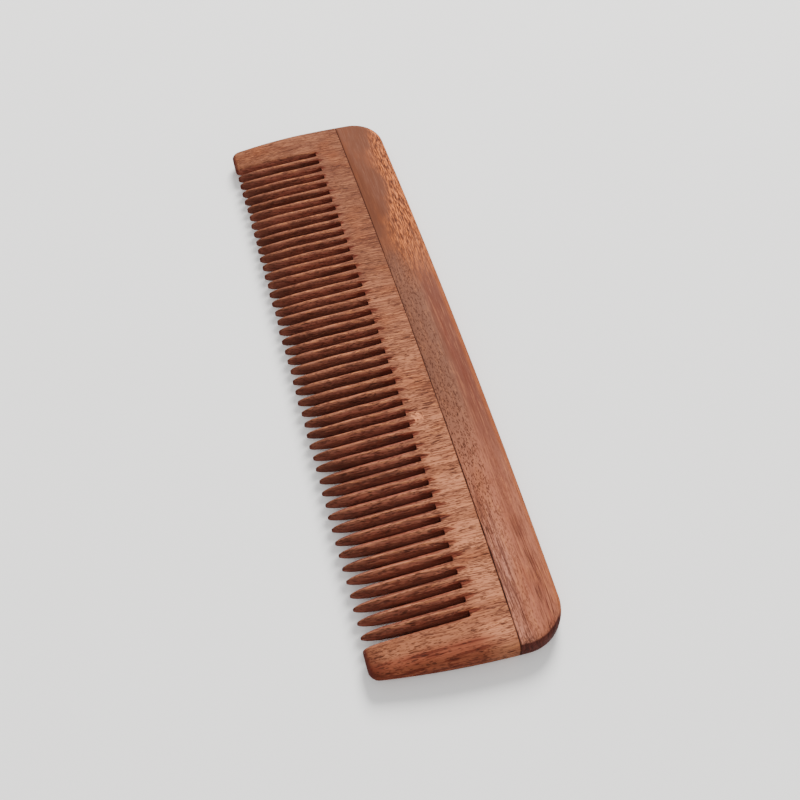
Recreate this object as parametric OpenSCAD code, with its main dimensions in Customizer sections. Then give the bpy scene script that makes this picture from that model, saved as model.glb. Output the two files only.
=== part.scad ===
// Wooden comb made of two boards: a plate that is sawn into teeth, and a strip glued along its back.
// X runs along the comb, Y from the tooth tips to the back edge, and Z up from the face it lies on.
// The origin is under the middle of the comb. Lengths are in millimetres.

/* [Whole comb] */
// Length from end to end
comb_length = 185; // [181:0.1:200]
// Width from the tips of the broad end teeth to the middle of the back edge
comb_width = 47.7; // [46:0.1:54]
// Thickness of the flat middle
comb_thickness = 6.2; // [5.6:0.1:9]
// Radius of each end's curve, seen from above
end_curve_radius = 285; // [220:1:400]
// Distance from the tips of the broad end teeth to the widest place of the ends
end_widest_at = 36; // [30:0.5:40]
// How far the back edge falls away from its middle to its ends
back_bow = 1.3; // [0:0.1:2]
// How much further back the edge lies at the far end (-X) than at the middle, and how much less at the near end
back_skew = 0.5; // [0:0.05:0.6]
// Radius of the rounded rim, in section
rim_radius = 2.4; // [1:0.1:2.7]

/* [Back strip] */
// Width of the strip at the middle of the comb
strip_width = 12.8; // [12.5:0.1:16]
// How far the glued joint falls away from its middle to its ends
joint_bow = 1.2; // [0:0.1:2]
// Thickness of the glue line between the boards
glue_gap = 0.1; // [0.05:0.01:0.3]
// Radius of the back corner at the far end (-X), seen from above
far_corner_radius = 9.5; // [4:0.5:11]
// Radius of the back corner at the near end (+X), seen from above
near_corner_radius = 10.5; // [4:0.5:11]

/* [Teeth] */
// Number of narrow teeth
tooth_count = 45; // [31:2:45]
// Distance from one tooth to the next
tooth_pitch = 3.6; // [3:0.05:3.65]
// Width of the saw cut between two teeth
slot_width = 1.4; // [1:0.05:1.8]
// How far the tips of the narrow teeth stay behind those of the broad end teeth
tip_setback = 0.3; // [0:0.1:1]
// Length of the middle tooth
tooth_length = 25.5; // [22:0.1:28]
// How much shorter the teeth at the ends are
slot_bow = 0.95; // [0:0.05:1.5]
// How far the row of teeth sits towards the near end
row_shift = 0.7; // [0:0.1:1]
// Height of the rounding along the top and the bottom of a tooth
crown_height = 1.4; // [0.3:0.05:1.6]
// Height of that rounding where the tooth meets the plate
crown_at_root = 0.25; // [0.1:0.05:0.6]
// Length of the tapered point of a tooth, seen from above
point_length = 6.5; // [3:0.1:10]
// Thickness of the taper at the very tips
tip_thickness = 2.6; // [1.6:0.1:3.4]
// Length of the rounded nose of a tooth, seen from the side
nose_length = 2.2; // [1:0.1:4]

/* [End teeth] */
// Radius of the outer corner of each broad end tooth, seen from above
guard_outer_corner = 2.2; // [0.5:0.1:4]
// How far the inner side of each broad end tooth draws back at its tip
guard_relief = 0.9; // [0.3:0.1:1]
// Length over which the inner side of each broad end tooth draws back
guard_relief_length = 3.5; // [1:0.1:6]
// Radius of the edges along the slot beside each broad end tooth
guard_edge = 0.9; // [0.3:0.1:1.2]

/* [Hidden] */
// Gap between the plate and the root of each tooth
seam = 0.05;
// Largest share of a broad end tooth's width that its rim and its slot edges take
rim_share = 0.55;
edge_share = 0.35;
// Angle between two rings round a rounded rim
rim_step = 22.5;
// Angle between two points of a broad end tooth's rounded corner
guard_step = 30;
// Angle between two points across the rounded top of a tooth
crown_step = 45;
// Angle between two points of a back corner
corner_step = 9;
// Points from the middle to the end of a bowed edge
bow_points = 7;
// Points along each end, from the joint to the corner or to the slots
end_points = 3;
// Sections along the tapered point of a tooth, and from there to its root
point_steps = 6;
body_steps = 3;
// How much closer together those sections come towards the root (1 spaces them evenly)
body_crowding = 1.6;
// Length from the root over which most of the rounding of a tooth grows
crown_growth = 4.5;
// Share of a tooth's height that is left at the blunt end of its nose
nose_blunt = 0.4;
// Share of a tooth's width that is left at its very tip
point_blunt = 0.12;
// How full the tapered point of a tooth is, seen from above (1 makes it a half ellipse)
point_power = 1.4;
// Largest share of half a tooth's height that its rounding takes
crown_share = 0.9;

half_length = comb_length / 2;
mid_z = comb_thickness / 2;
tooth_width = tooth_pitch - slot_width;
first_tooth_x = row_shift - tooth_pitch * (tooth_count - 1) / 2;
slot_edge_x = tooth_pitch * (tooth_count + 1) / 2 - tooth_width / 2;
// The thickness tapers along an arc that starts where the shortest slots end
taper_start = tip_setback + tooth_length - slot_bow;
taper_drop = (comb_thickness - tip_thickness) / 2;
taper_radius = (pow(taper_start, 2) + pow(taper_drop, 2)) / (2 * taper_drop);

plate_colour = "#a8694a";
strip_colour = "#96553d";
tooth_colour = "#9c5a3e";

function tooth_name(i) = str("tooth_", i < 10 ? "0" : "", i);

// Edges seen from above, with y measured from the tips of the broad end teeth

function bowed(y, bow, x) = y - bow * pow(x / half_length, 2);
function back_y(x) = bowed(comb_width, back_bow, x) - back_skew * x / half_length;
function joint_y(x) = bowed(comb_width - strip_width, joint_bow, x);
function slot_end_y(x) = bowed(tip_setback + tooth_length, slot_bow, x - row_shift);
function end_x(y) = half_length - end_curve_radius + sqrt(pow(end_curve_radius, 2) - pow(y - end_widest_at, 2));
function mix(a, b, t) = a + (b - a) * t;
function swell(t) = sqrt(1 - pow(1 - t, 2));
function flipped(points) = [for (i = [len(points) - 1:-1:0]) [-points[i][0], points[i][1]]];

// One half of the strip's outline, from the middle of the back edge round a corner to the middle of the joint
function strip_half(side, corner_radius, inset) =
    let (cx = half_length - corner_radius)
    let (cy = back_y(side * cx) - corner_radius)
    let (y0 = joint_y(half_length) + glue_gap / 2)
    concat(
        [for (i = [0:bow_points - 1]) let (x = cx * i / bow_points) [x, back_y(side * x) - inset]],
        [for (a = [90:-corner_step:0]) [cx + (corner_radius - inset) * cos(a), cy + (corner_radius - inset) * sin(a)]],
        [for (i = [1:end_points]) let (y = mix(cy, y0, i / end_points)) [end_x(y) - inset, y]],
        [for (i = [bow_points - 1:-1:0]) let (x = (end_x(y0) - inset) * i / bow_points) [x, joint_y(x) + glue_gap / 2]]
    );

// One half of the plate's outline, from the middle of the joint round an end to the middle of the slots' ends
function plate_half(side, inset) =
    let (y1 = joint_y(half_length) - glue_gap / 2)
    let (y0 = slot_end_y(side * half_length))
    concat(
        [for (i = [0:bow_points - 1]) let (x = (end_x(y1) - inset) * i / bow_points) [x, joint_y(x) - glue_gap / 2]],
        [for (i = [0:end_points]) let (y = mix(y1, y0, i / end_points)) [end_x(y) - inset, y]],
        [for (i = [bow_points - 1:-1:0]) let (x = (end_x(y0) - inset) * i / bow_points) [x, slot_end_y(side * x)]]
    );

// Both halves joined into one outline that starts at the middle of its back edge
function whole_outline(near_half, far_half) =
    concat(near_half, [for (i = [1:len(far_half) - 2]) flipped(far_half)[i]]);
function strip_outline(inset) =
    whole_outline(strip_half(1, near_corner_radius, inset), strip_half(-1, far_corner_radius, inset));
function plate_outline(inset) = whole_outline(plate_half(1, inset), plate_half(-1, inset));

// Inset and height of each ring of a rounded rim, from the bottom face to the top face
rim_rings = concat(
    [for (a = [0:rim_step:90]) [rim_radius * (1 - sin(a)), rim_radius * (1 - cos(a))]],
    [for (a = [90:-rim_step:0]) [rim_radius * (1 - sin(a)), comb_thickness - rim_radius * (1 - cos(a))]]
);

// Half the thickness at a distance from the tips, and the same where the nose of a tip rounds it off
function taper_half(y) =
    y >= taper_start ? mid_z : mid_z - taper_radius + sqrt(pow(taper_radius, 2) - pow(taper_start - y, 2));
function nose_half(y, tip_y) =
    taper_half(y) * (y - tip_y >= nose_length ? 1 : mix(nose_blunt, 1, swell((y - tip_y) / nose_length)));

// A closed solid through rings of equally many points
module loft(rings) {
    n = len(rings[0]);
    last = len(rings) - 1;
    walls = [for (k = [0:last - 1]) for (i = [0:n - 1]) let (j = (i + 1) % n)
        for (t = [[k * n + i, k * n + j, (k + 1) * n + j], [k * n + i, (k + 1) * n + j, (k + 1) * n + i]]) t];
    first_cap = [for (i = [0:n - 1]) n - 1 - i];
    last_cap = [for (i = [0:n - 1]) last * n + i];
    polyhedron(points = [for (r = rings) for (p = r) p], faces = concat([first_cap], walls, [last_cap]));
}

// A flat board with a rounded rim, through one outline at each height
module rimmed_board(outlines) {
    loft([for (k = [0:len(rim_rings) - 1]) [for (p = outlines[k]) [p[0], p[1], rim_rings[k][1]]]]);
}

module from_tips() {
    translate([0, -comb_width / 2, 0]) children();
}

module back_strip() {
    color(strip_colour) from_tips() rimmed_board([for (r = rim_rings) strip_outline(r[0])]);
}

module tooth_plate() {
    color(plate_colour) from_tips() rimmed_board([for (r = rim_rings) plate_outline(r[0])]);
}

// A broad end tooth: sections across it, each a slab with a wide rim outside and small edges along the slot
function drawn_back(y, depth, span) = y >= span ? 0 : depth * (1 - swell(y / span));
function guard_section(y, inner_x) =
    let (h = nose_half(y, 0))
    let (x0 = inner_x + drawn_back(y, guard_relief, guard_relief_length))
    let (x1 = end_x(y) - drawn_back(y, guard_outer_corner, guard_outer_corner))
    let (rim = min(rim_radius, rim_share * (x1 - x0)))
    let (edge = min(guard_edge, edge_share * (x1 - x0)))
    let (rim_z = rim_radius * h / mid_z)
    let (edge_z = guard_edge * h / mid_z)
    [for (corner = [
        [x1 - rim, -1, rim, rim_z, -90],
        [x1 - rim, 1, rim, rim_z, 0],
        [x0 + edge, 1, edge, edge_z, 90],
        [x0 + edge, -1, edge, edge_z, 180]
    ])
        for (a = [corner[4]:guard_step:corner[4] + 90])
            [corner[0] + corner[2] * cos(a), y, mid_z + corner[1] * (h - corner[3]) + corner[3] * sin(a)]];
function guard_stations(root) = concat(
    [for (i = [0:4]) mix(0, guard_outer_corner, 1 - cos(90 * i / 4))],
    [for (i = [1:6]) mix(guard_outer_corner, root, i / 6)]
);
module guard(side) {
    inner_x = slot_edge_x + side * row_shift;
    root = slot_end_y(side * half_length) - seam;
    rings = [for (y = guard_stations(root)) guard_section(y, inner_x)];
    color(plate_colour) from_tips() mirror([side < 0 ? 1 : 0, 0, 0]) loft(rings);
}
module guard_near() {
    guard(1);
}
module guard_far() {
    guard(-1);
}

// A narrow tooth: sections across it, each a slab with a rounded top and bottom, down to a blunt tip
function tooth_section(y, x, root) =
    let (t = min(1, (y - tip_setback) / point_length))
    let (w = tooth_width / 2 * mix(point_blunt, 1, pow(swell(t), point_power)))
    let (h = nose_half(y, tip_setback))
    let (grown = 1 - exp((y - root) / crown_growth))
    let (crown = min(mix(crown_at_root, crown_height, grown), crown_share * h))
    [for (side = [1, -1])
        for (a = [0:crown_step:180])
            [x + side * w * cos(a), y, mid_z + side * (h - crown + crown * sin(a))]];
function tooth_stations(root) = concat(
    [for (i = [0:point_steps]) tip_setback + point_length * (1 - cos(90 * i / point_steps))],
    [for (i = [1:body_steps]) mix(tip_setback + point_length, root, 1 - pow(1 - i / body_steps, body_crowding))]
);
module tooth(i) {
    x = first_tooth_x + (i - 1) * tooth_pitch;
    root = slot_end_y(x) - seam;
    color(tooth_colour) from_tips() loft([for (y = tooth_stations(root)) tooth_section(y, x, root)]);
}

back_strip();
tooth_plate();
guard_far();
guard_near();
for (i = [1:tooth_count]) tooth(i);
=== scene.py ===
import math
import random

import bmesh
import bpy
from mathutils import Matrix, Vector


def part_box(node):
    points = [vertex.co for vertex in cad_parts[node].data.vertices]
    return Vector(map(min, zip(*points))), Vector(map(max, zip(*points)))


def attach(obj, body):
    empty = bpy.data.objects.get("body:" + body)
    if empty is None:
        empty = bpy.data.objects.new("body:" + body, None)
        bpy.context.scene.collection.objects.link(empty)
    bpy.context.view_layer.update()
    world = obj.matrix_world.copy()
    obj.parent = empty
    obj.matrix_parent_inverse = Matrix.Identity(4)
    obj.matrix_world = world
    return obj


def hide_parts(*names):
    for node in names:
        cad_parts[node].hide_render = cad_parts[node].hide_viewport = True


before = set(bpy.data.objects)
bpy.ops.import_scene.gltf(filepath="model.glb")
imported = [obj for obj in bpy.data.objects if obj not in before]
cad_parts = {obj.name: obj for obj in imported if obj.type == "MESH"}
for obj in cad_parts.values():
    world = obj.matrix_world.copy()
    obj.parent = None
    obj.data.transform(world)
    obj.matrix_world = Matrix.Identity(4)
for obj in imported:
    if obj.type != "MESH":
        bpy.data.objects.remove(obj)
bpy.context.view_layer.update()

MM = 0.001

# Outline of the comb in millimetres, with y measured from the tips of the broad end teeth
COMB_LENGTH = 185.0
COMB_WIDTH = 47.7
THICKNESS = 6.2
END_CURVE_RADIUS = 285.0
END_WIDEST_AT = 36.0
BACK_BOW = 1.3
BACK_SKEW = 0.5
STRIP_WIDTH = 12.8
JOINT_BOW = 1.2
GLUE_GAP = 0.1
FAR_CORNER_RADIUS = 9.5
NEAR_CORNER_RADIUS = 10.5
HALF_LENGTH = COMB_LENGTH / 2
MID = THICKNESS / 2

# The row of teeth: places and widths come from the frame
TEETH = sorted(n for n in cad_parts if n.startswith("tooth_") and n != "tooth_plate")
TIP_SETBACK = 0.3
TOOTH_LENGTH = 25.5
SLOT_BOW = 0.95
POINT_LENGTH = 6.5
POINT_BLUNT = 0.12
POINT_POWER = 1.4
TIP_THICKNESS = 2.6
NOSE_LENGTH = 2.2
NOSE_BLUNT = 0.4
CROWN_DEPTH = 1.5
CROWN_AT_ROOT = 0.25
CROWN_FADE = 4.5
CROWN_SHARE = 0.9

# The waist of a tooth: its share of the width, and where it begins and ends, measured from the tips
WAIST = 0.9
WAIST_BEGINS = (2.0, 8.0)
WAIST_ENDS = (14.0, 24.0)

# Towards the near end the tops of the teeth turn from round into a low roof: where along the comb this
# begins and ends, how far it goes, the roof's height as a share of the rounding's, and how blunt it is
ROOF_START = 5.0
ROOF_END = 40.0
ROOF_SHARE = 0.95
ROOF_LOW = 0.56
ROOF_BLUNT = 0.12

# The broad end teeth
OUTER_CORNER = 2.2
RELIEF = 0.9
RELIEF_LENGTH = 3.5
RIM_SHARE = 0.55
CROWN_WIDTH_SHARE = 0.35

# The grooves in which the rounding of the teeth runs out past a slot's end: their length at the far and
# at the near end, how far it varies, the share of it on the side towards the near end, and their inner slope
GROOVE_FAR = 1.4
GROOVE_NEAR = 3.3
GROOVE_SPREAD = 0.6
GROOVE_SHORT_SIDE = 0.3
GROOVE_SLOPE = 0.6

# The dark red on the grooves, partly a red stain and partly painted shade: how far to the side of the slot it
# lies, how wide it is, how far it goes past them, how far it follows the teeth towards their tips, how strong
# it is at most, its share at the far end, and the share of the faintest one
STAIN_SHADE_OFFSET = 0.55
STAIN_SHADE_WIDTH = 0.75
STAIN_SHADE_DEPTH = 0.4
STAIN_SHADE_TAIL = 6.0
STAIN_SHADE_STRENGTH = 1.6
STAIN_SHADE_FAR = 0.85
STAIN_SHADE_FAINTEST = 0.65

# Small unevenness of hand work, in millimetres. A tooth leans from LEAN_ENDS down to its tip, and its
# crest wanders by CREST_TURN radians in each millimetre.
TIP_UNEVEN = 0.16
LEAN_UNEVEN = 0.1
LEAN_ENDS = 18.0
WAIST_UNEVEN = (-0.02, 0.03)
CREST_UNEVEN = 0.1
CREST_WANDER = 0.1
CREST_TURN = 0.55
SLOT_UNEVEN = 0.12
SLOT_ROUND = 0.1
GROOVE_LEAN = 0.1

# Section of the rounded rim from the upright side inwards: how far in and how far down from the top face
RIM = ((0.0, 2.4), (0.1, 1.72), (0.34, 1.12), (0.72, 0.62), (1.24, 0.26), (1.85, 0.07), (2.6, 0.0))
JOINT_EDGE = 0.12

# Columns of the sawn board across the comb, and rows from the tips to the joint
CROWN_PLACES = (-1.0, -0.96, -0.84, -0.64, -0.36, 0.0, 0.36, 0.64, 0.84, 0.96, 1.0)
SLOT_PLACES = (-0.85, -0.6, -0.3, 0.0, 0.3, 0.6, 0.85)
FLAT_PLACES = (0.2, 0.4, 0.6, 0.8)
POINT_ROWS = 10
BODY_ROWS = 8
GROOVE_ROWS = (0.0, 0.2, 0.5, 0.85, 1.25, 1.7, 2.2, 2.8, 3.5, 4.4)
PLATE_SHARES = (0.35, 0.7)

# How deep a cut counts as fully sawn wood in the finish, in millimetres
FULLY_SAWN = 0.45

# Points of the strip's outline, on one half of it
STRIP_BOW_POINTS = 46
STRIP_CORNER_POINTS = 14
STRIP_END_POINTS = 8

# The dried glue: how far it lies below the faces of the boards, how thick it is, and its columns
GLUE_BACK = 0.22
GLUE_WIDTH = 0.09
GLUE_COLUMNS = 60

# Distances in millimetres at which vertices are welded, and the angle in degrees of a sharp edge
MIRROR_WELD = 0.001
WELD = 0.002
CREASE = 38.0


def tooth_span(name):
    """Middle and width of a tooth along the comb, in millimetres."""
    low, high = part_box(name)
    return (low.x + high.x) / 2 / MM, (high.x - low.x) / MM


FIRST_X, TOOTH_WIDTH = tooth_span(TEETH[0])
LAST_X = tooth_span(TEETH[-1])[0]
PITCH = (LAST_X - FIRST_X) / (len(TEETH) - 1)
ROW_SHIFT = (FIRST_X + LAST_X) / 2
SLOT_HALF = (PITCH - TOOTH_WIDTH) / 2


def mix(a, b, t):
    return a + (b - a) * t


def clamp(t):
    return min(1.0, max(0.0, t))


def swell(t):
    """Quarter of a circle, from 0 at t = 0 to 1 at t = 1."""
    return math.sqrt(max(0.0, 1 - (1 - t) ** 2))


def ramp(value, low, high):
    """Rises smoothly from 0 at low to 1 at high."""
    t = clamp((value - low) / (high - low))
    return t * t * (3 - 2 * t)


def bowed(y, bow, x):
    return y - bow * (x / HALF_LENGTH) ** 2


def back_y(x):
    return bowed(COMB_WIDTH, BACK_BOW, x) - BACK_SKEW * x / HALF_LENGTH


def joint_y(x):
    return bowed(COMB_WIDTH - STRIP_WIDTH, JOINT_BOW, x)


def slot_end_y(x):
    return bowed(TIP_SETBACK + TOOTH_LENGTH, SLOT_BOW, x - ROW_SHIFT)


def end_x(y):
    return HALF_LENGTH - END_CURVE_RADIUS + math.sqrt(END_CURVE_RADIUS ** 2 - (y - END_WIDEST_AT) ** 2)


TAPER_START = TIP_SETBACK + TOOTH_LENGTH - SLOT_BOW
TAPER_DROP = (THICKNESS - TIP_THICKNESS) / 2
TAPER_RADIUS = (TAPER_START ** 2 + TAPER_DROP ** 2) / (2 * TAPER_DROP)


def taper_half(y):
    """Half the thickness of the board at a distance from the tips."""
    if y >= TAPER_START:
        return MID
    return MID - TAPER_RADIUS + math.sqrt(TAPER_RADIUS ** 2 - (TAPER_START - y) ** 2)


def nose_half(y, tip):
    return taper_half(y) * mix(NOSE_BLUNT, 1.0, swell(clamp((y - tip) / NOSE_LENGTH)))


def crown_depth(to_root, height):
    """How round a tooth's top is, at a distance from its root."""
    reached = 1 - math.exp(-max(0.0, to_root) / CROWN_FADE)
    return min(mix(CROWN_AT_ROOT, CROWN_DEPTH, reached), CROWN_SHARE * height)


def crown_drop(depth, s):
    """How far a round crown has fallen at a share s of its half width."""
    return depth * (1 - math.sqrt(max(0.0, 1 - s * s)))


def roof_drop(depth, s):
    """The same for a crown like a roof with a blunt ridge."""
    return depth * (math.hypot(s, ROOF_BLUNT) - ROOF_BLUNT) / (math.hypot(1.0, ROOF_BLUNT) - ROOF_BLUNT)


def tooth_drop(x, depth, s):
    roof = ROOF_SHARE * ramp(x, ROOF_START, ROOF_END)
    return mix(crown_drop(depth, s), roof_drop(depth * ROOF_LOW, s), roof)


def drawn_back(y, depth, span):
    return 0.0 if y >= span else depth * (1 - swell(y / span))


# Each tooth and slot differs a little from the next, always in the same way
dice = random.Random(45)
tooth_shapes = []
for number in range(len(TEETH)):
    tooth_shapes.append({
        "x": FIRST_X + PITCH * number,
        "tip": TIP_SETBACK + dice.uniform(-TIP_UNEVEN, TIP_UNEVEN),
        "lean": dice.uniform(-LEAN_UNEVEN, LEAN_UNEVEN),
        "waist": WAIST + dice.uniform(*WAIST_UNEVEN),
        "crest": dice.uniform(-CREST_UNEVEN, CREST_UNEVEN),
        "phase": dice.uniform(0.0, 2 * math.pi),
    })
slot_shapes = []
for number in range(len(TEETH) + 1):
    run = mix(GROOVE_FAR, GROOVE_NEAR, number / len(TEETH))
    slot_shapes.append({
        "x": FIRST_X + PITCH * (number - 0.5),
        "end": dice.uniform(-SLOT_UNEVEN, SLOT_UNEVEN),
        "run": run + dice.uniform(-GROOVE_SPREAD, GROOVE_SPREAD),
        "lean": dice.uniform(-GROOVE_LEAN, GROOVE_LEAN),
        "stain_and_shade": mix(STAIN_SHADE_FAR, 1.0, number / len(TEETH)) * dice.uniform(STAIN_SHADE_FAINTEST, 1.0),
    })


def board_columns():
    columns = [("end", -1, k) for k in range(len(RIM))]
    columns += [("flat", -1, share) for share in reversed(FLAT_PLACES)]
    columns += [("inner", -1, s) for s in CROWN_PLACES if s >= 0]
    for number in range(len(TEETH)):
        columns += [("slot", number, s) for s in SLOT_PLACES]
        columns += [("tooth", number, s) for s in CROWN_PLACES]
    columns += [("slot", len(TEETH), s) for s in SLOT_PLACES]
    columns += [("inner", 1, -s) for s in CROWN_PLACES if s <= 0]
    columns += [("flat", 1, share) for share in FLAT_PLACES]
    columns += [("end", 1, k) for k in reversed(range(len(RIM)))]
    return columns


def board_rows():
    turns = [math.pi / 2 * k / POINT_ROWS for k in range(POINT_ROWS + 1)]
    rows = [("point", POINT_LENGTH * (1 - math.cos(turn))) for turn in turns]
    rows += [("body", k / BODY_ROWS) for k in range(1, BODY_ROWS)]
    rows += [("groove", distance) for distance in GROOVE_ROWS]
    rows += [("plate", share) for share in PLATE_SHARES]
    rows += [("joint", JOINT_EDGE), ("joint", 0.0)]
    return rows


def row_y(row, tip, slot_end, joint):
    kind, value = row
    if kind == "point":
        return tip + value
    if kind == "body":
        return mix(tip + POINT_LENGTH, slot_end, value)
    if kind == "groove":
        return slot_end + value
    if kind == "plate":
        return mix(slot_end + GROOVE_ROWS[-1], joint, value)
    return joint - value


def joint_drop(row):
    return JOINT_EDGE if row == ("joint", 0.0) else 0.0


def slots_near(x):
    number = round((x - slot_shapes[0]["x"]) / PITCH)
    return slot_shapes[max(0, number - 1):number + 2] or slot_shapes[-1:]


def groove_drop(x, slot, past):
    """Depth of the grooves beside a slot at x, some way past the slot's end."""
    off = x - slot["x"] - slot["lean"] * past
    run = slot["run"] * (1.0 if off < 0 else GROOVE_SHORT_SIDE)
    risen = CROWN_AT_ROOT * past / run
    off = abs(off)
    if off >= PITCH / 2:
        return 0.0
    if off < SLOT_HALF:
        depth = CROWN_AT_ROOT - (SLOT_HALF - off) * GROOVE_SLOPE
    else:
        depth = crown_drop(CROWN_AT_ROOT, (PITCH / 2 - off) / (TOOTH_WIDTH / 2))
    return max(0.0, depth - risen)


def groove_at(x, y, slot_end):
    past = y - slot_end
    return max(groove_drop(x, slot, past) for slot in slots_near(x))


def stain_and_shade_at(x, y, slot_end):
    """How strongly the end of a slot stains the wood and paints shade on it at a place beside it, from 0 to
    1.
    """
    past = y - slot_end
    tail = clamp(1 + past / STAIN_SHADE_TAIL)
    past = max(0.0, past)
    shares = []
    for slot in slots_near(x):
        off = (x - slot["x"] - slot["lean"] * past + STAIN_SHADE_OFFSET) / STAIN_SHADE_WIDTH
        reach = STAIN_SHADE_STRENGTH * (1 - past / (slot["run"] + STAIN_SHADE_DEPTH))
        shares.append(slot["stain_and_shade"] * tail * clamp(reach - off * off))
    return max(shares)


def tooth_point(number, s, row):
    """A point of a narrow tooth or of the plate behind it, how deep it is cut, and its stain and painted
    shade.
    """
    shape = tooth_shapes[number]
    slot_end = slot_end_y(shape["x"])
    edge_end = slot_end + mix(slot_shapes[number]["end"], slot_shapes[number + 1]["end"], (s + 1) / 2)
    y = row_y(row, shape["tip"], edge_end, joint_y(shape["x"]) - GLUE_GAP / 2)
    if row[0] in ("point", "body"):
        t = min(1.0, (y - shape["tip"]) / POINT_LENGTH)
        half = TOOTH_WIDTH / 2 * mix(POINT_BLUNT, 1.0, swell(t) ** POINT_POWER)
        waist = mix(1.0, shape["waist"], ramp(y, *WAIST_BEGINS) * (1 - ramp(y, *WAIST_ENDS)))
        x = shape["x"] + s * half * waist + shape["lean"] * (1 - ramp(y, 0.0, LEAN_ENDS))
        height = nose_half(y, shape["tip"])
        crest = (shape["crest"] + CREST_WANDER * math.sin(CREST_TURN * y + shape["phase"])) * (1 - s * s)
        drop = tooth_drop(x, crown_depth(edge_end - y, height), s - crest)
        return Vector((x, y, height - drop)), drop, stain_and_shade_at(x, y, edge_end)
    x = shape["x"] + s * TOOTH_WIDTH / 2
    drop = groove_at(x, y, edge_end)
    return Vector((x, y, MID - drop - joint_drop(row))), drop, stain_and_shade_at(x, y, edge_end)


def slot_point(number, s, row):
    """A point of the plate behind a slot, how deep it is cut, and its stain and painted shade."""
    slot = slot_shapes[number]
    slot_end = slot_end_y(slot["x"]) + slot["end"] + SLOT_ROUND * (1 - s * s)
    y = row_y(row, 0.0, slot_end, joint_y(slot["x"]) - GLUE_GAP / 2)
    x = slot["x"] + s * SLOT_HALF
    drop = groove_drop(x, slot, max(0.0, y - slot_end))
    sawn = FULLY_SAWN if row == ("groove", 0.0) else drop
    return Vector((x, y, MID - drop - joint_drop(row))), sawn, stain_and_shade_at(x, y, slot_end)


def guard_point(kind, side, place, row):
    """A point of a broad end tooth or of the plate behind it, how deep it is cut, and its stain and painted
    shade.
    """
    slot_x = ROW_SHIFT + side * (PITCH * (len(TEETH) + 1) - TOOTH_WIDTH) / 2
    slot = slot_shapes[-1 if side > 0 else 0]
    slot_end = slot_end_y(slot_x) + slot["end"]
    y = row_y(row, 0.0, slot_end, joint_y(slot_x) - GLUE_GAP / 2)
    inner = slot_x + side * drawn_back(y, RELIEF, RELIEF_LENGTH)
    outer = side * (end_x(y) - drawn_back(y, OUTER_CORNER, OUTER_CORNER))
    width = abs(outer - inner)
    height = nose_half(y, 0.0)
    crown_width = min(TOOTH_WIDTH / 2, CROWN_WIDTH_SHARE * width)
    rim_scale = min(1.0, RIM_SHARE * width / RIM[-1][0])
    flat_start = inner + side * crown_width
    flat_stop = outer - side * RIM[-1][0] * rim_scale
    drop, stain_and_shade = 0.0, 0.0
    if kind == "end":
        inset, fall = RIM[place]
        x = outer - side * inset * rim_scale
        drop = fall * height / MID
    elif kind == "flat":
        x = mix(flat_start, flat_stop, place)
    else:
        x = flat_start - side * crown_width * abs(place)
        drop = crown_drop(crown_depth(slot_end - y, height), place)
        if row[0] not in ("point", "body"):
            drop = groove_at(x, y, slot_end)
            stain_and_shade = stain_and_shade_at(x, y, slot_end)
    if row[0] in ("plate", "joint"):
        y = row_y(row, 0.0, slot_end, joint_y(x) - GLUE_GAP / 2)
    sawn = drop if kind == "inner" else 0.0
    return Vector((x, y, height - drop - joint_drop(row))), sawn, stain_and_shade


def board_point(column, row):
    kind, number, place = column
    if kind == "tooth":
        return tooth_point(number, place, row)
    if kind == "slot":
        return slot_point(number, place, row)
    return guard_point(kind, number, place, row)


def grid_corners(bm, columns, rows):
    """A flat grid of vertices, as a table by row and column."""
    made = bmesh.ops.create_grid(bm, x_segments=columns - 1, y_segments=rows - 1, size=1.0)["verts"]
    made = sorted(made, key=lambda v: (round(v.co.y, 6), round(v.co.x, 6)))
    return [made[r * columns:(r + 1) * columns] for r in range(rows)]


def wall_down(bm, sawn, wall):
    """Walls from the skin down to the middle plane, marked where they stand in a slot so that the finish can
    paint shade on them.
    """
    rim = [e for e in bm.edges if e.is_boundary]
    walls = bmesh.ops.extrude_edge_only(bm, edges=rim)["geom"]
    for v in walls:
        if isinstance(v, bmesh.types.BMVert):
            v.co.z = 0.0
            v[wall] = 1.0 if v[sawn] > 0.5 else 0.0


def mirror_below(bm):
    """The same again below the middle plane, joined to what stands above it."""
    everything = bm.verts[:] + bm.edges[:] + bm.faces[:]
    bmesh.ops.mirror(bm, geom=everything, axis="Z", merge_dist=MIRROR_WELD)
    bmesh.ops.remove_doubles(bm, verts=bm.verts[:], dist=WELD)
    bmesh.ops.recalc_face_normals(bm, faces=bm.faces[:])


def mesh_from(bm, name, material):
    mesh = bpy.data.meshes.new(name)
    bm.to_mesh(mesh)
    bm.free()
    mesh.materials.append(material)
    return mesh


def in_scene(name, data):
    made = bpy.data.objects.new(name, data)
    bpy.context.scene.collection.objects.link(made)
    return made


def finished(bm, name, material):
    """Sets a comb piece in its place, in metres, and gives it its wood."""
    bmesh.ops.translate(bm, vec=(0.0, -COMB_WIDTH / 2, MID), verts=bm.verts[:])
    bmesh.ops.scale(bm, vec=(MM, MM, MM), verts=bm.verts[:])
    mesh = mesh_from(bm, name, material)
    mesh.shade_smooth()
    mesh.set_sharp_from_angle(angle=math.radians(CREASE))
    return in_scene(name, mesh)


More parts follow.
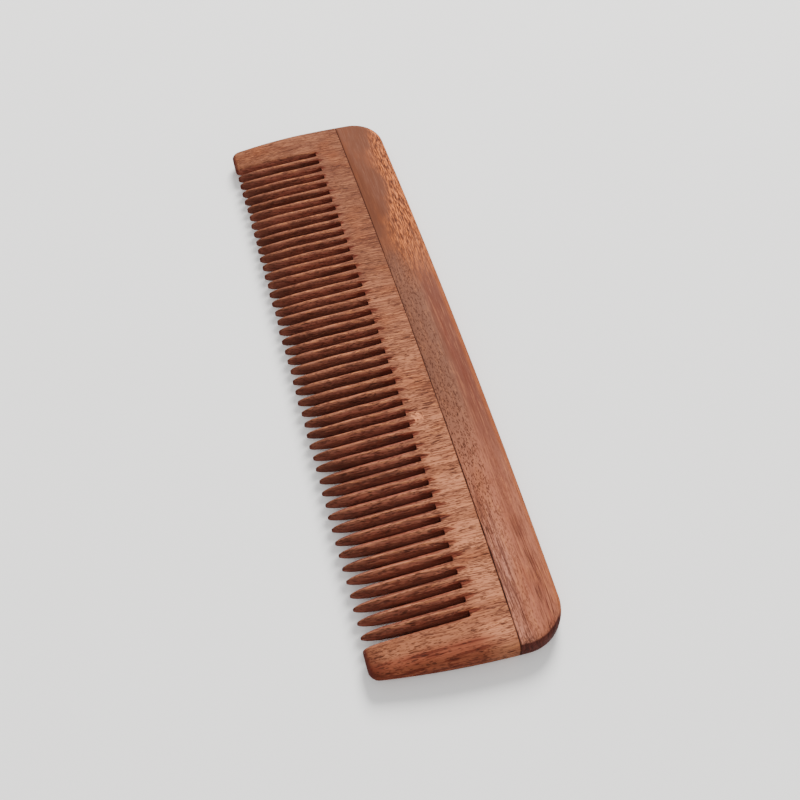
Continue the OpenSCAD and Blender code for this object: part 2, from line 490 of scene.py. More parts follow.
def sawn_board(material):
    """The board with the teeth: one skin from the tips to the joint, without the slots."""
    bm = bmesh.new()
    sawn = bm.verts.layers.float.new("sawn")
    wall = bm.verts.layers.float.new("wall")
    stain_and_shade_share = bm.verts.layers.float.new("stain_and_shade_share")
    columns, rows = board_columns(), board_rows()
    corners = grid_corners(bm, len(columns), len(rows))
    open_verts = []
    for r, row in enumerate(rows):
        for c, column in enumerate(columns):
            corner = corners[r][c]
            if column[0] == "slot" and row[0] in ("point", "body"):
                open_verts.append(corner)
                continue
            corner.co, depth, stain_and_shade = board_point(column, row)
            corner[sawn] = min(1.0, depth / FULLY_SAWN)
            corner[stain_and_shade_share] = stain_and_shade
    bmesh.ops.delete(bm, geom=open_verts, context="VERTS")
    wall_down(bm, sawn, wall)
    mirror_below(bm)
    return finished(bm, "sawn_board", material)


def strip_half(side, inset, joint_inset):
    """One half of the strip's outline, from the middle of the back edge to the middle of the joint."""
    radius = NEAR_CORNER_RADIUS if side > 0 else FAR_CORNER_RADIUS
    cx = HALF_LENGTH - radius
    cy = back_y(side * cx) - radius
    low = joint_y(HALF_LENGTH) + GLUE_GAP / 2
    reach = radius - inset
    points = []
    for k in range(STRIP_BOW_POINTS):
        x = cx * k / STRIP_BOW_POINTS
        points.append((x, back_y(side * x) - inset))
    for k in range(STRIP_CORNER_POINTS + 1):
        turn = math.pi / 2 * k / STRIP_CORNER_POINTS
        points.append((cx + reach * math.sin(turn), cy + reach * math.cos(turn)))
    for k in range(1, STRIP_END_POINTS + 1):
        y = mix(cy, low, k / STRIP_END_POINTS)
        points.append((end_x(y) - inset, y + joint_inset * (k == STRIP_END_POINTS)))
    for k in reversed(range(STRIP_BOW_POINTS)):
        x = (end_x(low) - RIM[-1][0]) * k / STRIP_BOW_POINTS
        points.append((x, joint_y(x) + GLUE_GAP / 2 + joint_inset))
    return [(side * x, y) for x, y in points]


def strip_ring(k):
    """Outline of one ring of the strip's rim."""
    joint_inset = JOINT_EDGE if k == len(RIM) - 1 else 0.0
    near = strip_half(1, RIM[k][0], joint_inset)
    far = strip_half(-1, RIM[k][0], joint_inset)
    return near + far[-2:0:-1]


def strip_drops(k, outline):
    """How far each point of a ring lies below the top face."""
    drops = []
    for x, y in outline:
        at_joint = y < joint_y(x) + GLUE_GAP / 2 + JOINT_EDGE / 2
        clear_of_rim = abs(x) < end_x(y) - RIM[-1][0]
        drops.append(min(RIM[k][1], JOINT_EDGE) if at_joint and clear_of_rim else RIM[k][1])
    return drops


def loop_edges(ring):
    """The edges that join each vertex of a ring to the next."""
    edges = []
    for a, b in zip(ring, ring[1:] + ring[:1]):
        edges += [e for e in a.link_edges if e.other_vert(a) is b]
    return edges


def matching_ring(ring, fresh):
    """The extruded copy of each vertex of a ring, in the same order."""
    new_verts = {g for g in fresh if isinstance(g, bmesh.types.BMVert)}
    matched = []
    for v in ring:
        matched += [e.other_vert(v) for e in v.link_edges if e.other_vert(v) in new_verts]
    return matched


def back_strip(material):
    """The strip along the back: rings from its middle plane over the rim to the top face."""
    bm = bmesh.new()
    outline = strip_ring(0)
    ring = bmesh.ops.create_circle(bm, cap_ends=False, segments=len(outline), radius=1.0)["verts"]
    ring.sort(key=lambda v: math.atan2(v.co.x, v.co.y) % (2 * math.pi))
    for v, (x, y) in zip(ring, outline):
        v.co = (x, y, 0.0)
    for k in range(len(RIM)):
        outline = strip_ring(k)
        drops = strip_drops(k, outline)
        fresh = bmesh.ops.extrude_edge_only(bm, edges=loop_edges(ring))["geom"]
        ring = matching_ring(ring, fresh)
        for v, (x, y), drop in zip(ring, outline, drops):
            v.co = (x, y, MID - drop)
    bm.faces.new(ring)
    mirror_below(bm)
    return finished(bm, "back_strip_wood", material)


def glue_line(material):
    """The dried glue between the boards, a little below their faces."""
    bm = bmesh.new()
    levels = [(inset, MID - drop - GLUE_BACK) for inset, drop in RIM]
    levels = [(inset, -z) for inset, z in reversed(levels)] + levels
    rows = grid_corners(bm, GLUE_COLUMNS + 1, len(levels))
    reach = end_x(joint_y(HALF_LENGTH))
    for (inset, z), row in zip(levels, rows):
        for c, corner in enumerate(row):
            x = mix(-1.0, 1.0, c / GLUE_COLUMNS) * (reach - inset - GLUE_BACK)
            corner.co = (x, joint_y(x) - GLUE_WIDTH / 2, z)
    skin = bmesh.ops.extrude_face_region(bm, geom=bm.faces[:])["geom"]
    back = [g for g in skin if isinstance(g, bmesh.types.BMVert)]
    bmesh.ops.translate(bm, vec=(0.0, GLUE_WIDTH, 0.0), verts=back)
    bmesh.ops.recalc_face_normals(bm, faces=bm.faces[:])
    return finished(bm, "glue_line", material)


def srgb(r, g, b):
    """A colour as the eye reads it, from 0 to 255, in the linear values that the shader takes."""
    def linear(c):
        c /= 255.0
        return c / 12.92 if c <= 0.04045 else ((c + 0.055) / 1.055) ** 2.4
    return (linear(r), linear(g), linear(b), 1.0)


# Colours of both woods
PALE_FIBRE = srgb(190, 119, 76)
BROWN = srgb(90, 50, 35)
RED_BROWN = srgb(104, 48, 35)
ORANGE = srgb(140, 76, 44)
PURPLE = srgb(76, 40, 34)
PORE = srgb(58, 28, 21)
END_GRAIN = srgb(78, 38, 34)

# Colours of the sawn board
NEAR_TAN = srgb(184, 119, 87)
FAR_TAN = srgb(127, 79, 56)
GUARD_TAN = srgb(146, 93, 67)
GUARD_BROWN = srgb(103, 60, 42)
GUARD_RED = srgb(120, 60, 42)
RIDGE_TAN = srgb(142, 91, 71)
ROOT_TAN = srgb(124, 77, 58)
FLANK_FAR = srgb(140, 81, 67)
FLANK_NEAR = srgb(132, 74, 59)
FLANK_PALE = srgb(168, 104, 78)
# DARK_TOOTH also paints shade on the tips of the teeth, and DEEP_RED a rim at the very tips that is partly
# end grain and partly painted shade
DARK_TOOTH = srgb(80, 46, 37)
DEEP_RED = srgb(72, 24, 18)
# Painted shade on the slot walls, at the far and at the near end
SLOT_SHADE_FAR = srgb(102, 56, 49)
SLOT_SHADE_NEAR = srgb(150, 84, 70)
# Dark red past the slot ends: partly a red stain, partly painted shade
STAIN_SHADE_RED = srgb(80, 22, 13)
CHIP_PINK = srgb(214, 134, 92)

# Colours of the strip
STRIP_FAR = srgb(103, 60, 42)
STRIP_OLIVE = srgb(118, 78, 62)
STRIP_NEAR = srgb(164, 102, 78)
STRIP_PALE = srgb(178, 119, 99)
STRIP_DUSK = srgb(146, 86, 66)
MAUVE = srgb(108, 59, 46)
FLECK_LIGHT = srgb(204, 114, 58)
FLECK_DARK = srgb(68, 32, 18)
END_RING = srgb(56, 26, 24)

# Colours of the glue and the floor, each between two
GLUE_COLOURS = (srgb(26, 14, 12), srgb(44, 25, 19))
FLOOR_COLOURS = (srgb(246, 245, 244), srgb(250, 250, 249))

# Shine of oiled wood, and the depths of its fine relief in millimetres
WOOD_ROUGHNESS = 0.65
WOOD_SPECULAR = 0.04
PLATE_FIBRE_DEPTH = 0.05
STRIP_FIBRE_DEPTH = 0.03
PORE_DEPTH = 0.07

# Places of single marks on the comb, in millimetres
LIGHT_PATCH_AT = -14.0
DARK_TEETH_AT = 7.0
CHIP_AT = (25.9, 28.5)
DUSK_AT = 7.2
BACK_LINES_AT = 8.4


class Finish:
    """Builds one procedural material, node by node. Sizes and places are in millimetres on the comb."""

    def __init__(self, name, roughness, specular):
        self.material = bpy.data.materials.new(name)
        self.material.use_nodes = True
        self.tree = self.material.node_tree
        self.shader = self.tree.nodes["Principled BSDF"]
        self.shader.inputs["Roughness"].default_value = roughness
        self.shader.inputs["Specular IOR Level"].default_value = specular
        self.place = self.node("ShaderNodeTexCoord").outputs["Object"]
        self.colour = None

    def node(self, kind, **settings):
        made = self.tree.nodes.new(kind)
        for key, value in settings.items():
            setattr(made, key, value)
        return made

    def feed(self, inlet, value):
        if isinstance(value, bpy.types.NodeSocket):
            self.tree.links.new(value, inlet)
        elif value is not None:
            inlet.default_value = value

    def maths(self, operation, a, b=None):
        made = self.node("ShaderNodeMath", operation=operation)
        self.feed(made.inputs[0], a)
        self.feed(made.inputs[1], b)
        return made.outputs[0]

    def both(self, mask, *others):
        """Where all of the masks are, each as far as it goes."""
        for other in others:
            mask = self.maths("MULTIPLY", mask, other)
        return mask

    def either(self, a, b):
        return self.maths("MAXIMUM", a, b)

    def apart(self, value, middle):
        """How far a value is from another, either way."""
        return self.maths("ABSOLUTE", self.maths("SUBTRACT", value, middle))

    def between(self, value, low, high, bottom=0.0, top=1.0):
        """Takes low to bottom and high to top, smoothly and without going past them."""
        made = self.node("ShaderNodeMapRange", interpolation_type="SMOOTHSTEP")
        self.feed(made.inputs["Value"], value)
        for key, number in (("From Min", low), ("From Max", high), ("To Min", bottom), ("To Max", top)):
            made.inputs[key].default_value = number
        return made.outputs["Result"]

    def tint(self, share, a, b):
        made = self.node("ShaderNodeMix", data_type="RGBA")
        self.feed(made.inputs["Factor"], share)
        self.feed(made.inputs[6], a)
        self.feed(made.inputs[7], b)
        return made.outputs[2]

    def coat(self, colour, *masks):
        """Lays a colour over what is there, where all of the masks are."""
        self.colour = self.tint(self.both(*masks), self.colour, colour)

    def stretched(self, place, size, offset=(0.0, 0.0, 0.0)):
        """Coordinates in which a step of one is that size along each axis."""
        made = self.node("ShaderNodeMapping")
        self.feed(made.inputs["Vector"], place)
        made.inputs["Location"].default_value = offset
        made.inputs["Scale"].default_value = [1 / (MM * s) for s in size]
        return made.outputs["Vector"]

    def noise(self, size, place=None, detail=2.0, roughness=0.5, offset=(0.0, 0.0, 0.0), output="Fac"):
        made = self.node("ShaderNodeTexNoise")
        self.feed(made.inputs["Vector"], self.stretched(place or self.place, size, offset))
        made.inputs["Scale"].default_value = 1.0
        made.inputs["Detail"].default_value = detail
        made.inputs["Roughness"].default_value = roughness
        return made.outputs[output]

    def swayed(self, size, amount):
        """Coordinates that wander a little from side to side, by that amount."""
        centred = self.node("ShaderNodeVectorMath", operation="SUBTRACT")
        self.feed(centred.inputs[0], self.noise(size, detail=1.0, output="Color"))
        centred.inputs[1].default_value = (0.5, 0.5, 0.5)
        scaled = self.node("ShaderNodeVectorMath", operation="SCALE")
        self.feed(scaled.inputs[0], centred.outputs[0])
        scaled.inputs["Scale"].default_value = amount * MM
        moved = self.node("ShaderNodeVectorMath", operation="ADD")
        self.feed(moved.inputs[0], self.place)
        self.feed(moved.inputs[1], scaled.outputs[0])
        return moved.outputs[0]

    def dashes(self, size, place, thin, thick, share, offset=(0.0, 0.0, 0.0)):
        """Short uneven strokes, one in each cell of that size, left out of some cells."""
        made = self.node("ShaderNodeTexVoronoi")
        self.feed(made.inputs["Vector"], self.stretched(place, size, offset))
        made.inputs["Scale"].default_value = 1.0
        uneven = self.noise([1.6 * s for s in size], place, detail=1.0)
        distance = self.maths("ADD", made.outputs["Distance"], self.between(uneven, 0.3, 0.7, -0.12, 0.16))
        split = self.node("ShaderNodeSeparateColor")
        self.feed(split.inputs[0], made.outputs["Color"])
        kept = self.between(split.outputs[0], 1.0 - share, 1.3 - share)
        return self.both(self.between(distance, thin, thick, 1.0, 0.0), kept)

    def close_dashes(self, size, place, thin, thick, share):
        """Two layers of such strokes."""
        first = self.dashes(size, place, thin, thick, share)
        return self.either(first, self.dashes(size, place, thin, thick, share, (3.3, 5.7, 8.4)))

    def lines(self, size, place, width, offset=(0.0, 0.0, 0.0)):
        """Thin unbroken lines that follow the stretched contours of a noise."""
        value = self.noise(size, place, detail=1.0, offset=offset)
        return self.between(self.apart(value, 0.5), 0.0, width, 1.0, 0.0)

    def bump(self, height, depth, below=None):
        made = self.node("ShaderNodeBump")
        made.inputs["Strength"].default_value = 1.0
        made.inputs["Distance"].default_value = depth * MM
        self.feed(made.inputs["Height"], height)
        self.feed(made.inputs["Normal"], below)
        return made.outputs["Normal"]


class Wood(Finish):
    """Oiled reddish hardwood: what both boards of the comb share."""

    def __init__(self, name, sway_size, sway):
        super().__init__(name, WOOD_ROUGHNESS, WOOD_SPECULAR)
        split = self.node("ShaderNodeSeparateXYZ")
        self.feed(split.inputs[0], self.place)
        self.along = self.maths("DIVIDE", split.outputs[0], MM)
        self.past_tips = self.maths("ADD", self.maths("DIVIDE", split.outputs[1], MM), COMB_WIDTH / 2)
        bow = self.both(self.along, self.along, JOINT_BOW / HALF_LENGTH ** 2)
        past_middle = self.maths("SUBTRACT", self.past_tips, COMB_WIDTH - STRIP_WIDTH)
        self.past_joint = self.maths("ADD", past_middle, bow)
        self.wander = self.swayed(sway_size, sway)

    def measure(self, name):
        """A value that the piece's own mesh carries."""
        return self.node("ShaderNodeAttribute", attribute_name=name).outputs["Fac"]

    def facing(self, axis):
        """How squarely the surface faces along an axis of the comb, either way."""
        split = self.node("ShaderNodeSeparateXYZ")
        self.feed(split.inputs[0], self.node("ShaderNodeTexCoord").outputs["Normal"])
        return self.maths("ABSOLUTE", split.outputs[axis])

    def darken_joint(self):
        """The dark edge of the glued joint, darker towards the near end and in some places."""
        patches = self.noise((7.0, 7.0, 7.0), offset=(1.0, 4.0, 2.0))
        self.coat(PORE, self.between(self.apart(self.past_joint, 0.0), 0.14, 0.3, 1.0, 0.0),
                  self.between(patches, 0.3, 0.6, 0.35, 1.0), self.between(self.along, 22.0, 58.0, 0.35, 1.0))

    def oiled(self, fibres, fibre_depth, cuts):
        """Gives the shader its colour, an uneven shine and a fine relief, and hands over the material."""
        self.feed(self.shader.inputs["Base Color"], self.colour)
        self.feed(self.shader.inputs["Roughness"], self.between(fibres, 0.3, 0.7, 0.55, 0.75))
        relief = self.bump(fibres, fibre_depth)
        relief = self.bump(self.maths("SUBTRACT", 1.0, cuts), PORE_DEPTH, relief)
        self.feed(self.shader.inputs["Normal"], relief)
        return self.material


class PlateWood(Wood):
    """The wood of the sawn board, with its grain along the teeth."""

    def __init__(self):
        super().__init__("plate_wood", (9.0, 22.0, 9.0), 1.8)
        self.across = self.past_tips
        self.lively = self.between(self.along, -70.0, 10.0, 0.8, 1.0)
        self.streaks = self.noise((0.8, 16.0, 0.8), self.wander, detail=3.0, roughness=0.6)
        self.fibres = self.noise((0.34, 5.5, 0.34), self.wander, detail=3.0, roughness=0.65)
        self.clusters = self.noise((2.4, 7.0, 2.4), self.wander, offset=(2.0, 6.0, 1.0))
        self.sawn = self.between(self.measure("sawn"), 0.1, 1.0)
        half_row = (LAST_X - FIRST_X + TOOTH_WIDTH) / 2
        off_middle = self.apart(self.along, ROW_SHIFT)
        self.in_row = self.between(off_middle, half_row + 0.2, half_row + 0.8, 1.0, 0.0)
        self.on_teeth = self.both(self.between(self.across, 29.0, 25.0), self.in_row,
                                  self.between(self.clusters, 0.3, 0.6, 0.85, 0.55))

    def lay_ground(self):
        """Tan that is paler towards the near end, with broad bands and blotches."""
        self.colour = self.tint(self.between(self.along, -60.0, 75.0), FAR_TAN, NEAR_TAN)
        self.coat(NEAR_TAN, self.between(self.apart(self.along, LIGHT_PATCH_AT), 6.0, 15.0, 0.25, 0.0))
        self.coat(GUARD_TAN, self.between(self.along, -80.5, -83.0, 0.0, 0.6),
                  self.between(self.across, 31.0, 26.0), self.between(self.across, 8.0, 14.0, 0.4, 1.0))
        bands = self.noise((5.0, 40.0, 5.0), self.wander, detail=3.0)
        self.coat(BROWN, self.between(bands, 0.46, 0.68, 0.0, 0.5))
        blotches = self.noise((7.0, 10.0, 7.0), detail=3.0, offset=(5.0, 2.0, 0.0))
        self.coat(ORANGE, self.between(blotches, 0.46, 0.7, 0.0, 0.45))

    def darken_teeth(self):
        """Browner crests and dark flanks, some teeth darker than others, and red streaks."""
        self.coat(self.tint(self.between(self.across, 14.0, 20.0), RIDGE_TAN, ROOT_TAN), self.on_teeth)
        self.coat(self.tint(self.between(self.along, 40.0, 72.0), FLANK_FAR, FLANK_NEAR), self.sawn, 0.85)
        by_tooth = self.noise((2.6, 60.0, 60.0), detail=1.0, offset=(7.0, 0.0, 0.0))
        dark_group = self.between(self.apart(self.along, DARK_TEETH_AT), 6.0, 12.0, 0.4, 0.0)
        dark_teeth = self.either(self.between(by_tooth, 0.5, 0.64, 0.0, 0.85), dark_group)
        self.coat(DARK_TOOTH, self.sawn, dark_teeth)
        self.coat(RED_BROWN, self.between(self.streaks, 0.5, 0.64),
                  self.between(self.sawn, 0.0, 1.0, 0.2, 0.6))

    def lay_fibres(self):
        """Fine pale and dull fibres, a rough speckle on the flanks, and pale spots on the crests, partly worn
        wood and partly painted sheen.
        """
        self.coat(PALE_FIBRE, self.between(self.fibres, 0.34, 0.46, 0.55, 0.0), self.lively,
                  self.between(self.sawn, 0.0, 1.0, 1.0, 0.3))
        self.coat(BROWN, self.between(self.fibres, 0.52, 0.62, 0.0, 0.6), self.lively)
        speckle = self.noise((0.34, 1.5, 0.34), self.wander, offset=(8.0, 1.0, 5.0))
        rough_flank = self.both(self.sawn, self.lively)
        self.coat(FLANK_PALE, rough_flank, self.between(speckle, 0.44, 0.34, 0.0, 0.35))
        self.coat(RED_BROWN, rough_flank, self.between(speckle, 0.54, 0.64, 0.0, 0.6))
        # Pale spots on the crests: partly worn wood, partly a painted sheen on the ridges
        crests = self.both(self.between(self.measure("sawn"), 0.2, 0.05), self.on_teeth)
        self.coat(PALE_FIBRE, crests, self.between(self.across, 24.0, 20.0), self.between(speckle, 0.5, 0.6))

    def draw_lines(self):
        """Thin dark lines of the grain: short ones in clusters, and long ones towards the far end."""
        short = self.both(self.lines((0.5, 9.0, 0.5), self.wander, 0.05),
                          self.between(self.clusters, 0.36, 0.52), self.lively)
        long = self.both(self.lines((0.8, 13.0, 0.8), self.wander, 0.075, (4.0, 2.0, 7.0)),
                         self.between(self.clusters, 0.6, 0.44),
                         self.between(self.along, 30.0, -20.0, 0.0, 0.8),
                         self.between(self.across, 23.0, 27.0, 0.15, 1.0))
        drawn = self.either(short, long)
        self.coat(PURPLE, drawn, 0.75)
        return drawn

    def redden_near_end(self):
        """The redder wood along the near end, with dark red streaks in it."""
        inner = self.between(self.across, 24.0, 29.0, 1.0, 0.0)
        self.coat(GUARD_BROWN, self.between(self.along, 82.0, 84.0), inner, 0.5)
        outer = self.both(self.between(self.along, 86.6, 88.4),
                          self.between(self.across, 24.0, 31.0, 1.0, 0.0))
        self.coat(GUARD_RED, outer, 0.75)
        red_lines = self.both(outer, self.between(self.streaks, 0.49, 0.58), 0.7)
        red_tip = self.both(self.between(self.along, 81.0, 87.0),
                            self.between(self.across, 5.5, 1.0, 0.0, 0.65))
        self.coat(DEEP_RED, self.either(red_lines, red_tip))

    def stain_and_shade_slot_ends(self):
        """The red stain and painted shade past the slots, broken up by the fibres."""
        broken = self.between(self.fibres, 0.36, 0.6, 0.4, 0.0)
        stain_and_shade = self.maths("SUBTRACT", self.measure("stain_and_shade_share"), broken)
        # Dark red past the slot ends: partly a red stain, partly painted shade on the side of the grooves
        # turned from the light
        self.coat(STAIN_SHADE_RED, self.between(stain_and_shade, 0.02, 0.5, 0.0, 0.75))

    def open_pores(self):
        """Dark pores: fine ones everywhere and longer ones in clusters."""
        fine = self.close_dashes((0.38, 1.4, 0.38), self.wander, 0.18, 0.36, 0.75)
        long = self.close_dashes((0.5, 3.0, 0.5), self.wander, 0.16, 0.32, 0.9)
        long = self.both(long, self.between(self.clusters, 0.38, 0.54))
        pores = self.both(self.either(self.both(fine, 0.75), long),
                          self.between(self.along, -60.0, 40.0, 0.8, 1.0))
        self.coat(PORE, pores, 0.85)
        return pores

    def darken_ends(self):
        """Tips darkened with painted shade, a dark rim at the very tips that is partly end grain and partly
        painted shade, slot walls darkened with painted shade, and end grain.
        """
        # Painted shade: the teeth darken towards their tips, where their tops slope down away from the light
        self.coat(DARK_TOOTH, self.between(self.across, 9.5, 2.0, 0.0, 0.5), self.in_row)
        # A dark rim at the very tips: partly end grain, partly painted shade
        self.coat(DEEP_RED, self.between(self.across, 1.3, 0.2, 0.0, 0.75))
        # Painted shade in the slots: the slot walls darken, most of all towards the slot ends
        slot_wall_shade = self.tint(self.between(self.along, 20.0, 75.0), SLOT_SHADE_FAR, SLOT_SHADE_NEAR)
        self.coat(slot_wall_shade, self.measure("wall"), self.between(self.across, 8.0, 25.0, 0.35, 0.95))
        self.coat(END_GRAIN, self.between(self.facing(1), 0.35, 0.8), 0.8)

    def lay_chip(self):
        """The small pale chip beside one slot, on the top face."""
        made = self.node("ShaderNodeVectorMath", operation="DISTANCE")
        self.feed(made.inputs[0], self.place)
        x, y = CHIP_AT
        made.inputs[1].default_value = (x * MM, (y - COMB_WIDTH / 2) * MM, THICKNESS * MM)
        uneven = self.between(self.noise((0.9, 0.7, 0.9)), 0.3, 0.7, -0.8, 0.8)
        distance = self.maths("ADD", self.maths("DIVIDE", made.outputs["Value"], MM), uneven)
        self.coat(CHIP_PINK, self.between(distance, 0.5, 1.5, 1.0, 0.0), 0.8)


class StripWood(Wood):
    """The wood of the strip, with its grain along the comb."""

    def __init__(self):
        super().__init__("strip_wood", (26.0, 8.0, 8.0), 1.2)
        self.across = self.past_joint
        self.fibres = self.noise((6.0, 0.32, 0.32), self.wander, detail=3.0, roughness=0.65)
        self.clouds = self.noise((12.0, 5.0, 5.0), offset=(3.0, 1.0, 0.0))
        self.near = self.between(self.along, 15.0, 62.0)
        self.mauve = self.both(self.between(self.across, 5.4, 8.2),
                               self.between(self.along, -40.0, -12.0, 0.0, 0.8))
        limit = self.maths("ADD", self.across, self.between(self.along, -62.0, -40.0, -3.4, 0.0))
        limit = self.maths("ADD", limit, self.between(self.along, -92.0, -66.0, -1.6, 0.0))
        limit = self.maths("ADD", limit, self.between(self.clouds, 0.3, 0.7, -0.9, 0.9))
        self.flecked = self.both(self.between(self.along, -14.0, -38.0), self.between(limit, 2.4, 7.0))

    def lay_ground(self):
        """The tones of the strip from end to end and from the joint to the back, with bands and clouds."""
        self.colour = self.tint(self.between(self.along, -50.0, -20.0), STRIP_FAR, STRIP_OLIVE)
        self.coat(STRIP_NEAR, self.near)
        self.coat(STRIP_PALE, self.between(self.across, 4.6, 2.4),
                  self.between(self.along, 50.0, 76.0, 0.0, 0.9))
        self.coat(STRIP_DUSK, self.between(self.apart(self.across, DUSK_AT), 1.2, 3.2, 0.55, 0.0),
                  self.between(self.along, 22.0, 48.0))
        self.coat(MAUVE, self.mauve, self.between(self.near, 0.0, 1.0, 1.0, 0.45))
        even = self.either(self.near, self.between(self.along, -20.0, -40.0))
        bands = self.noise((60.0, 3.2, 5.0), self.wander, detail=3.0)
        self.coat(BROWN, self.between(bands, 0.46, 0.68), self.between(even, 0.0, 1.0, 0.12, 0.25))
        self.coat(ORANGE, self.between(self.clouds, 0.45, 0.7), self.between(even, 0.0, 1.0, 0.1, 0.3))
        back_band = self.between(self.across, 10.6, 11.8)
        self.coat(ORANGE, self.either(self.both(back_band, 0.8), self.both(self.flecked, 0.75)))

    def lay_fibres(self):
        """Fine pale and dull fibres, and red streaks."""
        restless = self.either(self.both(self.near, 0.9), self.between(self.along, -50.0, -20.0, 0.15, 0.5))
        restless = self.either(restless, self.flecked)
        self.coat(PALE_FIBRE, restless, self.between(self.fibres, 0.34, 0.46, 0.5, 0.0))
        self.coat(BROWN, restless, self.between(self.fibres, 0.53, 0.64, 0.0, 0.65))
        streaks = self.noise((22.0, 0.9, 1.1), self.wander, detail=3.0, roughness=0.6)
        self.coat(RED_BROWN, self.either(self.near, self.mauve),
                  self.between(streaks, 0.52, 0.68, 0.0, 0.35))

    def lay_flecks(self):
        """Bright and dark flecks, quieter towards the middle of the comb and on its back edge."""
        flecks = self.noise((2.6, 0.28, 0.28), self.wander, roughness=0.6, offset=(4.0, 3.0, 8.0))
        marked = self.both(self.flecked, self.between(self.along, -52.0, -30.0, 1.0, 0.65),
                           self.between(self.facing(2), 0.0, 0.6, 0.45, 1.0))
        self.coat(FLECK_LIGHT, marked, self.between(flecks, 0.53, 0.59, 0.0, 0.95))
        self.coat(FLECK_DARK, marked, self.between(flecks, 0.48, 0.42, 0.0, 0.95))

    def draw_lines(self):
        """Long thin dark lines: one group beside the joint, another towards the back."""
        low = self.both(self.between(self.across, 2.6, 3.8, 1.0, 0.0), self.between(self.along, 42.0, 58.0))
        high = self.both(self.between(self.apart(self.across, BACK_LINES_AT), 0.8, 2.2, 1.0, 0.0),
                         self.between(self.along, 56.0, 70.0))
        breaks = self.noise((7.0, 1.4, 1.4), detail=1.0, offset=(2.0, 6.0, 1.0))
        drawn = self.both(self.either(low, high), self.lines((14.0, 0.5, 0.5), self.wander, 0.075),
                          self.between(breaks, 0.36, 0.46))
        self.coat(PURPLE, drawn, 0.75)
        return drawn

    def darken_end(self):
        """The dark end grain with its rings."""
        end_grain = self.both(self.between(self.facing(0), 0.28, 0.5),
                              self.between(self.facing(2), 0.82, 0.66))
        rings = self.noise((30.0, 0.5, 3.0), self.swayed((20.0, 5.0, 4.0), 1.5))
        self.coat(self.tint(self.between(rings, 0.42, 0.6), END_GRAIN, END_RING), end_grain, 0.95)
        return end_grain

    def open_pores(self, end_grain):
        """Fine dark strokes: close together beside the joint, few elsewhere."""
        fine = self.close_dashes((1.1, 0.36, 0.36), self.wander, 0.18, 0.38, 0.98)
        bold = self.close_dashes((1.8, 0.44, 0.44), self.wander, 0.14, 0.32, 0.9)
        crowd = self.either(self.between(self.across, 4.6, 7.0, 1.0, 0.12),
                            self.both(self.either(self.near, end_grain), 0.35))
        pores = self.both(self.either(self.both(fine, 0.85), bold), crowd,
                          self.between(self.along, -45.0, -22.0),
                          self.between(self.along, 10.0, 35.0, 0.75, 1.0),
                          self.between(self.along, 45.0, 72.0, 1.0, 0.6))
        self.coat(PORE, pores, 0.8)
        return pores


def plate_wood():
    wood = PlateWood()
    wood.lay_ground()
    wood.darken_teeth()
    wood.lay_fibres()
    drawn = wood.draw_lines()
    wood.redden_near_end()
    wood.stain_and_shade_slot_ends()
    pores = wood.open_pores()
    wood.darken_ends()
    wood.lay_chip()
    wood.darken_joint()
    return wood.oiled(wood.fibres, PLATE_FIBRE_DEPTH, wood.either(pores, drawn))


def strip_wood():
    wood = StripWood()
    wood.lay_ground()
    wood.lay_fibres()
    wood.lay_flecks()
    drawn = wood.draw_lines()
    end_grain = wood.darken_end()
    pores = wood.open_pores(end_grain)
    wood.darken_joint()
    return wood.oiled(wood.fibres, STRIP_FIBRE_DEPTH, wood.either(pores, drawn))


def dried_glue():
    finish = Finish("dried_glue", 0.7, 0.3)
    specks = finish.noise((1.5, 1.5, 1.5))
    finish.feed(finish.shader.inputs["Base Color"], finish.tint(specks, *GLUE_COLOURS))
    finish.feed(finish.shader.inputs["Normal"], finish.bump(specks, 0.03))
    return finish.material


def pale_floor():
    """Matt white card."""
    finish = Finish("pale_floor", 0.9, 0.2)
    mottle = finish.noise((60.0, 60.0, 60.0))
    finish.feed(finish.shader.inputs["Base Color"], finish.tint(mottle, *FLOOR_COLOURS))
    return finish.material


# The floor reaches this far each way and lies a hair below the comb, both in metres
FLOOR_REACH = 3.0
FLOOR_BELOW = 0.00003


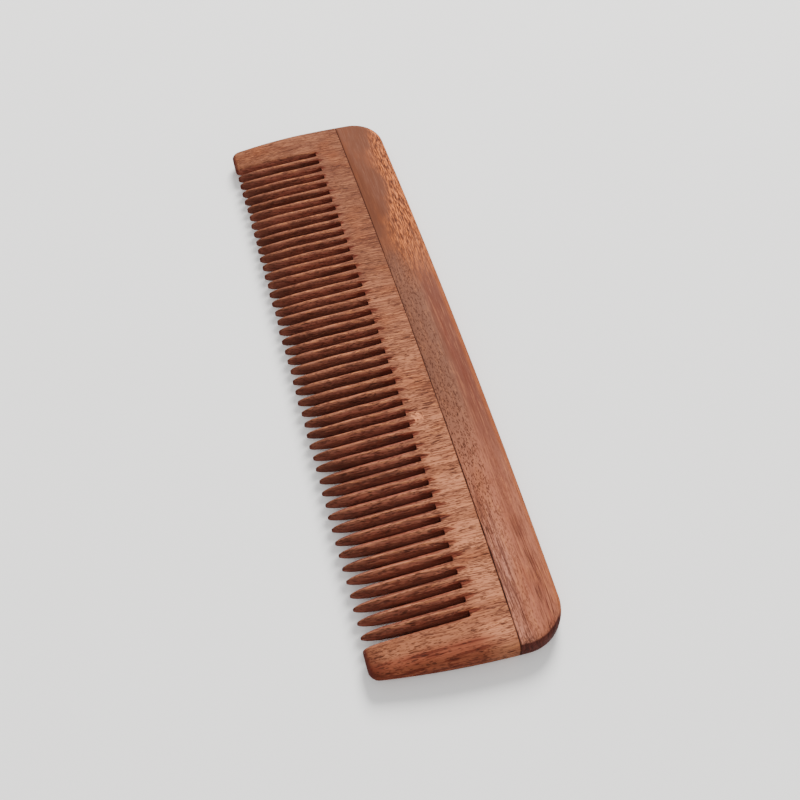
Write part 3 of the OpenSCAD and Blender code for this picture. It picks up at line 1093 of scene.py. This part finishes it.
def floor():
    bm = bmesh.new()
    bmesh.ops.create_grid(bm, x_segments=1, y_segments=1, size=FLOOR_REACH)
    plane = in_scene("floor", mesh_from(bm, "floor", pale_floor()))
    plane.location.z = -FLOOR_BELOW


# Lamps, aimed at the comb: place and size in metres, power in watts, colour
KEY_LAMP = ((-1.466, 0.684, 1.176), 0.9, 84.0, (1.0, 0.985, 0.965))
FILL_LAMP = ((0.9, -0.25, 1.35), 1.2, 10.0, (1.0, 1.0, 1.0))
ROOM_LIGHT = 0.6


def softbox(name, place, size, power, colour):
    lamp = bpy.data.lights.new(name, "AREA")
    lamp.shape = "DISK"
    lamp.size = size
    lamp.energy = power
    lamp.color = colour
    box = in_scene(name, lamp)
    box.location = place
    box.rotation_euler = (-Vector(place)).to_track_quat("-Z", "Y").to_euler()


def studio():
    world = bpy.data.worlds.new("studio")
    world.use_nodes = True
    background = world.node_tree.nodes["Background"]
    background.inputs["Color"].default_value = (1.0, 1.0, 1.0, 1.0)
    background.inputs["Strength"].default_value = ROOM_LIGHT
    bpy.context.scene.world = world
    softbox("key", *KEY_LAMP)
    softbox("fill", *FILL_LAMP)


# The camera: place and nearest sight in metres, turn in degrees, lens and sensor in millimetres
CAMERA_PLACE = (0.1866, -0.0413, 0.2297)
CAMERA_TURN = (37.645, 0.381, 75.075)
CAMERA_LENS = 49.5
CAMERA_SENSOR = 36.0
CAMERA_NEAREST = 0.01


def camera():
    lens = bpy.data.cameras.new("camera")
    lens.lens = CAMERA_LENS
    lens.sensor_width = CAMERA_SENSOR
    lens.clip_start = CAMERA_NEAREST
    lens.dof.use_dof = False
    eye = in_scene("camera", lens)
    eye.location = CAMERA_PLACE
    eye.rotation_euler = [math.radians(a) for a in CAMERA_TURN]
    bpy.context.scene.camera = eye


camera()
studio()
floor()

board = sawn_board(plate_wood())
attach(board, "root")
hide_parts("tooth_plate", "guard_far", "guard_near", *TEETH)

strip = back_strip(strip_wood())
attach(strip, "root")
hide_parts("back_strip")

glue = glue_line(dried_glue())
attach(glue, "root")
